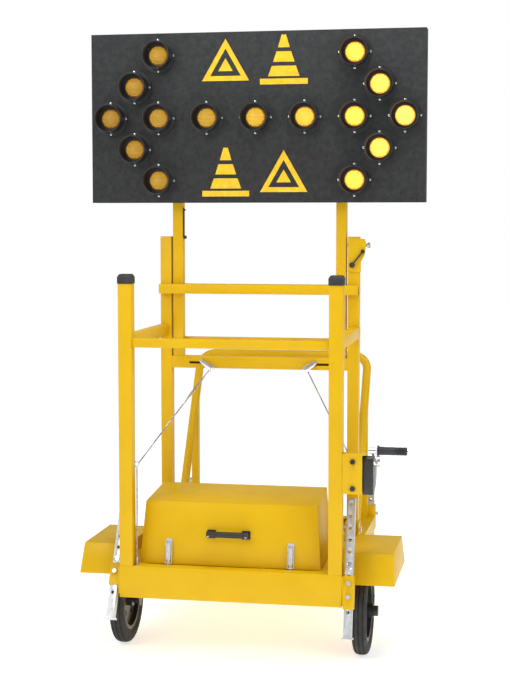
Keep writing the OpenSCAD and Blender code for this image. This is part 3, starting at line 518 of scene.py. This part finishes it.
# %% Lamp diodes
board_lo, board_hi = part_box("board_case")
face_y = board_lo.y
PITCH_X, PITCH_Z = 0.088, 0.1105
mid_z = (board_lo.z + board_hi.z) / 2
cells = [(i, 0) for i in (-4, -2, 0, 2, 4)]
cells += [(s * (6 - abs(k)), k) for s in (-1, 1) for k in (-2, -1, 0, 1, 2)]
lamp_at = [(cx * PITCH_X, 0, mid_z + cz * PITCH_Z) for cx, cz in cells]
LENS_CURVE, LENS_RISE = 0.060, 0.014
DIODE_R, DIODE_PITCH, ROW_SHARE = 0.0023, 0.0054, 0.866
DOME_BACK, CLUSTER_R, CLUSTER_ROWS = 0.0006, 0.0308, 7

spots = []
for row in range(-CLUSTER_ROWS, CLUSTER_ROWS + 1):
    across = 2 * CLUSTER_ROWS - abs(row)
    for k in range(across + 1):
        spot = ((k - across / 2) * DIODE_PITCH, row * DIODE_PITCH * ROW_SHARE)
        if math.hypot(*spot) < CLUSTER_R:
            spots.append(spot)
bpy.ops.object.select_all(action="DESELECT")
bpy.ops.mesh.primitive_ico_sphere_add(subdivisions=2, radius=DIODE_R)
diode = bpy.context.object
edit(diode, "VERT", lambda v: v.co.y > DOME_BACK)
bpy.ops.mesh.delete(type="VERT")
leave()
edit(diode)
bpy.ops.mesh.fill_holes(sides=0)
bpy.ops.mesh.normals_make_consistent(inside=False)
leave()
offsets = []
for u, w in spots:
    sag = LENS_CURVE - math.sqrt(LENS_CURVE ** 2 - u * u - w * w)
    offsets.append((u, face_y - LENS_RISE + sag - DOME_BACK, w))
cluster = copy_to(diode, offsets)
settle(copy_to(cluster, lamp_at), "lamp_diodes", "head", "amber_lens", led_glass)

# %% [markdown]
# Four pan-head screws hold each lamp's flange. A screw starts as a 12-sided cylinder,
# its top edge is beveled, and the driver recess is inset and pushed in.

# %% Screws
SHARE = 0.45    # the rounded edge and the recess, as a share of the screw head


def pan_screw(radius, height):
    """A screw head that stands on the XZ plane and points towards -Y."""
    bpy.ops.object.select_all(action="DESELECT")
    bpy.ops.mesh.primitive_cylinder_add(vertices=12, radius=radius, depth=height,
        location=(0, -height / 2, 0), rotation=(math.pi / 2, 0, 0))
    ob = bpy.context.object
    bpy.ops.object.transform_apply(location=True, rotation=True)
    edit(ob, "FACE", lambda f: f.normal.y < -0.9)
    bpy.ops.mesh.bevel(offset=height * SHARE, segments=2)
    leave()
    edit(ob, "FACE", lambda f: f.normal.y < -0.99)
    bpy.ops.mesh.inset(thickness=radius * SHARE)
    bpy.ops.mesh.extrude_region_move(TRANSFORM_OT_translate={"value": (0, height * SHARE, 0)})
    leave()
    return ob


SCREW_RING, FLANGE_THICK = 0.055, 0.003
around = []
for quarter in range(4):
    angle = quarter * math.pi / 2
    around.append((SCREW_RING * math.cos(angle), face_y - FLANGE_THICK, SCREW_RING * math.sin(angle)))
four = copy_to(pan_screw(0.0042, 0.0022), around)
settle(copy_to(four, lamp_at), "lamp_screws", "head", "bright_steel")

# %% [markdown]
# The cover's handle is held by a zinc-plated screw at each end. The lamp screw's shape
# serves again, a little smaller, and the second screw is a copy of the first.

# %% Handle screws
FROM_END, BEHIND_FRONT = 0.009, 0.0022
handle_lo, handle_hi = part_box("cover_handle")
first = pan_screw(0.0036, 0.0016)
first.location = (handle_lo.x + FROM_END, handle_lo.y + BEHIND_FRONT, (handle_lo.z + handle_hi.z) / 2)
pair = copy_to(first, [(0, 0, 0), (handle_hi.x - handle_lo.x - 2 * FROM_END, 0, 0)])
settle(pair, "handle_screws", "cover", "bright_steel", zinc)

# %% [markdown]
# Reflective yellow film carries four plain hazard marks on the board: two warning
# triangles and two cones. Each is a flat primitive, given its form in edit mode and
# raised half a millimetre.

# %% Hazard marks
FILM = 0.0006
MARK_X, MARK_RISE = (-0.108, 0.101), (0.500, 0.108)
TRIANGLE_R, INNER_R, BAND, TRIANGLE_DROP = 0.098, 0.030, 0.017, 0.022
# a cone's bands: low edge, high edge, width at the low edge, width at the high edge
CONE_BANDS = ((-0.086, -0.066, 0.170, 0.170), (-0.058, -0.022, 0.112, 0.086),
    (-0.008, 0.028, 0.076, 0.052), (0.042, 0.086, 0.042, 0.016))


def triangle_mark(x, z):
    """A hollow triangle with a small solid one inside."""
    made = []
    for radius, hollow in ((TRIANGLE_R, True), (INNER_R, False)):
        bpy.ops.object.select_all(action="DESELECT")
        bpy.ops.mesh.primitive_circle_add(vertices=3, radius=radius, fill_type="NGON")
        ob = bpy.context.object
        if hollow:
            edit(ob)
            bpy.ops.mesh.inset(thickness=BAND)
            bpy.ops.mesh.delete(type="FACE")
            leave()
        made.append(ob)
    mark = joined(made)
    mark.rotation_euler = (math.pi / 2, 0, 0)
    mark.location = (x, face_y - FILM, z - TRIANGLE_DROP)
    return mark


def cone_mark(x, z):
    """A traffic cone: three sloping bands over a foot."""
    made = []
    for low, high, wide_low, wide_high in CONE_BANDS:
        bpy.ops.object.select_all(action="DESELECT")
        bpy.ops.mesh.primitive_plane_add(size=1)
        ob = bpy.context.object
        ob.scale = (wide_low, high - low, 1)
        ob.location = (0, (high + low) / 2, 0)
        bpy.ops.object.transform_apply(location=True, scale=True)
        top = high - 0.001
        edit(ob, "VERT", lambda v: v.co.y > top)
        bpy.ops.transform.resize(value=(wide_high / wide_low, 1, 1), center_override=(0, high, 0))
        leave()
        made.append(ob)
    mark = joined(made)
    mark.rotation_euler = (math.pi / 2, 0, 0)
    mark.location = (x, face_y - FILM, z)
    return mark


marks = []
for col, x in enumerate(MARK_X):
    for row, rise in enumerate(MARK_RISE):
        z = board_lo.z + rise
        marks.append(triangle_mark(x, z) if (col + row) % 2 == 0 else cone_mark(x, z))
film = joined(marks)
bpy.ops.object.transform_apply(location=True, rotation=True, scale=True)
edit(film)
bpy.ops.mesh.extrude_region_move(TRANSFORM_OT_translate={"value": (0, FILM * 0.9, 0)})
bpy.ops.mesh.select_all(action="SELECT")
bpy.ops.mesh.normals_make_consistent(inside=False)
leave()
settle(film, "hazard_marks", "head", "yellow_paint", mark_yellow)


# %% [markdown]
# Wire rope is six strands laid round a core. Each strand is a thin tube that follows a
# helix along the rope's line. The ropes that run from the fixed frame to the mast are set
# on no body, and their place is baked into their points.

# %% Wire rope
LAY, STEPS_PER_LAY = 0.034, 12
CORE_R, STRAND_R, STRAND_OUT = 0.62, 0.36, 0.64    # as shares of the rope's radius


def tube_along(points, radius):
    """A closed tube through the points, from a curve with a round bevel."""
    data = bpy.data.curves.new("line", "CURVE")
    data.dimensions = "3D"
    line = data.splines.new("POLY")
    line.points.add(len(points) - 1)
    for p, at in zip(line.points, points):
        p.co = (*at, 1)
    data.bevel_depth, data.bevel_resolution, data.use_fill_caps = radius, 1, True
    ob = bpy.data.objects.new("line", data)
    bpy.context.scene.collection.objects.link(ob)
    take(ob)
    bpy.ops.object.convert(target="MESH")
    return bpy.context.object


def rope_along(a, b, radius):
    """Six strands laid round a core between two points."""
    a, b = Vector(a), Vector(b)
    way = (b - a).normalized()
    u = way.cross(Vector((0, 0, 1))).normalized()
    w = way.cross(u)
    length = (b - a).length
    steps = int(length / LAY * STEPS_PER_LAY)
    made = [tube_along([a, a.lerp(b, 0.5), b], radius * CORE_R)]
    for strand in range(6):
        points = []
        for i in range(steps + 1):
            along = length * i / steps
            turn = 2 * math.pi * (along / LAY + strand / 6)
            out = (u * math.cos(turn) + w * math.sin(turn)) * radius * STRAND_OUT
            points.append(a + way * along + out)
        made.append(tube_along(points, radius * STRAND_R))
    return joined(made)


rope_r = 0.0025
HEAD_X, HEAD_OUT, HEAD_Z = 0.1822, 0.006, 0.935
mast_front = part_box("outer_post_left")[0].y
left_foot = (-0.3125, front_plane + 0.004, 0.6715)    # at the eye bolt
left_head = (-HEAD_X, mast_front - HEAD_OUT, HEAD_Z)
rope = rope_along(left_foot, left_head, rope_r)
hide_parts("rope_left")
settle(rope, "left_wire_rope", None, "wire_rope")
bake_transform(rope)

drum_mid = middle("rope_drum")
right_foot = (0.410, drum_mid.y - 0.013, drum_mid.z + 0.0215)    # where it leaves the drum
right_head = (HEAD_X, mast_front - HEAD_OUT, HEAD_Z)
rope = rope_along(right_foot, right_head, rope_r)
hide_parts("rope_right")
settle(rope, "right_wire_rope", None, "wire_rope")
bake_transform(rope)

# %% [markdown]
# The left rope is tightened by a turnbuckle: two bars join a pair of hexagon nuts, and a
# plain rod through each nut stands for the threaded end. Like its rope, it is set on no
# body, with its place baked into its points, so it stays on the rope's line.

# %% Turnbuckle
NUT_R, NUT_HALF, BAR_R, BAR_OUT, END_R = 0.0048, 0.004, 0.0014, 0.0033, 0.0028
NUTS_AT, ENDS_AT = (0.70, 0.90), ((0.66, 0.76), (0.84, 0.93))    # as shares of the rope


def rod(a, b, radius, sides=16):
    """A cylinder from a to b."""
    a, b = Vector(a), Vector(b)
    bpy.ops.object.select_all(action="DESELECT")
    bpy.ops.mesh.primitive_cylinder_add(vertices=sides, radius=radius, depth=(b - a).length,
        location=(a + b) / 2)
    ob = bpy.context.object
    ob.rotation_euler = (b - a).to_track_quat("Z", "Y").to_euler()
    return ob


foot, head = Vector(left_foot), Vector(left_head)
way = (head - foot).normalized()
across = way.cross(Vector((0, 1, 0))).normalized()
low_nut, high_nut = [foot.lerp(head, share) for share in NUTS_AT]
parts = [rod(nut - way * NUT_HALF, nut + way * NUT_HALF, NUT_R, 6) for nut in (low_nut, high_nut)]
parts += [rod(low_nut + across * x, high_nut + across * x, BAR_R, 8) for x in (-BAR_OUT, BAR_OUT)]
parts += [rod(foot.lerp(head, start), foot.lerp(head, end), END_R) for start, end in ENDS_AT]
buckle = joined(parts)
settle(buckle, "left_turnbuckle", None, "bright_steel")
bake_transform(buckle)

# %% [markdown]
# The winch drum carries the rope's spare turns, one beside the other towards the point
# where the rope leaves it. They lie on the drum just clear of its skin, and a plain tube
# is enough at this size.

# %% Rope on the drum
DRUM_R, OFF_DRUM, TURN_STEP, STEPS_PER_TURN = 0.022, 0.0002, 0.0053, 24
turns_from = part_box("rope_drum")[0].x + 0.0145
turns_to = right_foot[0] - 0.0035
reach = DRUM_R + rope_r + OFF_DRUM
points = []
for i in range(STEPS_PER_TURN * int((turns_to - turns_from) / TURN_STEP) + 1):
    turn = i / STEPS_PER_TURN
    angle = 2 * math.pi * turn
    points.append((turns_from + TURN_STEP * turn, drum_mid.y + reach * math.sin(angle),
        drum_mid.z + reach * math.cos(angle)))
settle(tube_along(points, rope_r * 0.96), "drum_rope_turns", "drum", "wire_rope")

# %% [markdown]
# The left rope's tail runs down from the eye bolt. A round plug and a crimped sleeve
# close its lower end, so that the strands can't open.

# %% The rope's tail
PLUG_R, PLUG_H, CRIMP_R, CRIMP_H = 0.0078, 0.005, 0.0042, 0.022
tail_lo, tail_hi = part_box("rope_tail")
tail_x, tail_y = (tail_lo.x + tail_hi.x) / 2, (tail_lo.y + tail_hi.y) / 2
tail_foot = (tail_x, tail_y, tail_lo.z + PLUG_H)
tail_head = (tail_x + 0.0015, front_plane, tail_hi.z)
plug = rod((tail_x, tail_y, tail_lo.z + 0.0002), tail_foot, PLUG_R, 24)
crimp = rod(tail_foot, (tail_x, tail_y, tail_foot[2] + CRIMP_H), CRIMP_R)
tail = joined([rope_along(tail_foot, tail_head, rope_r), plug, crimp])
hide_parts("rope_tail")
settle(tail, "rope_tail_wire", "root", "wire_rope")

# %% [markdown]
# Each front leg is held by a pull ring: a pin through one of its holes, just above the
# sleeve, with a wire ring that hangs from it. The pin stays with the sleeve: a hand pulls
# it, slides the leg and pushes it back in at the same height.

# %% Leg pins with rings
LEG_HALF, DECK_LINE = 0.0135, 0.328
PIN_R, PIN_OUT = 0.0042, 0.008
HEAD_RIM, HEAD_TOP, HEAD_FOOT = 0.0035, 0.003, 0.0005
RING_R, RING_WIRE, RING_OUT, RING_UP = 0.0095, 0.0011, 0.0055, 0.002
# side, way along X, the leg's distance behind the posts at the deck, its lean in degrees,
# and how far up the leg from the deck its pin sits
LEG_PINS = (("left", -1, 0.036, 28.4, 0.0043), ("right", 1, 0.008, 12, 0.0283))


def leg_pin(x, pass_y, lean, height):
    """A pin and its ring at a height along a leg that leans back by some degrees."""
    slope = math.radians(lean)
    bpy.ops.object.select_all(action="DESELECT")
    bpy.ops.mesh.primitive_torus_add(major_radius=RING_R, minor_radius=RING_WIRE,
        major_segments=28, minor_segments=8, location=(0, -LEG_HALF - RING_OUT, -RING_R + RING_UP),
        rotation=(math.pi / 2, 0, 0))
    ring = bpy.context.object
    shank = rod((0, -LEG_HALF - PIN_OUT, 0), (0, LEG_HALF + PIN_OUT, 0), PIN_R)
    head = rod((0, -LEG_HALF - HEAD_TOP, 0), (0, -LEG_HALF - HEAD_FOOT, 0), PIN_R + HEAD_RIM)
    pin = joined([shank, head, ring])
    bpy.ops.object.transform_apply(location=True, rotation=True)
    pin.rotation_euler = (-slope, 0, 0)
    pin.location = (x, front_plane + pass_y + height * math.sin(slope),
        DECK_LINE + height * math.cos(slope))
    return pin


leg_x = middle("front_leg_right").x
for side, way_x, pass_y, lean, height in LEG_PINS:
    settle(leg_pin(way_x * leg_x, pass_y, lean, height), "leg_pin_" + side, "root", "bright_steel")
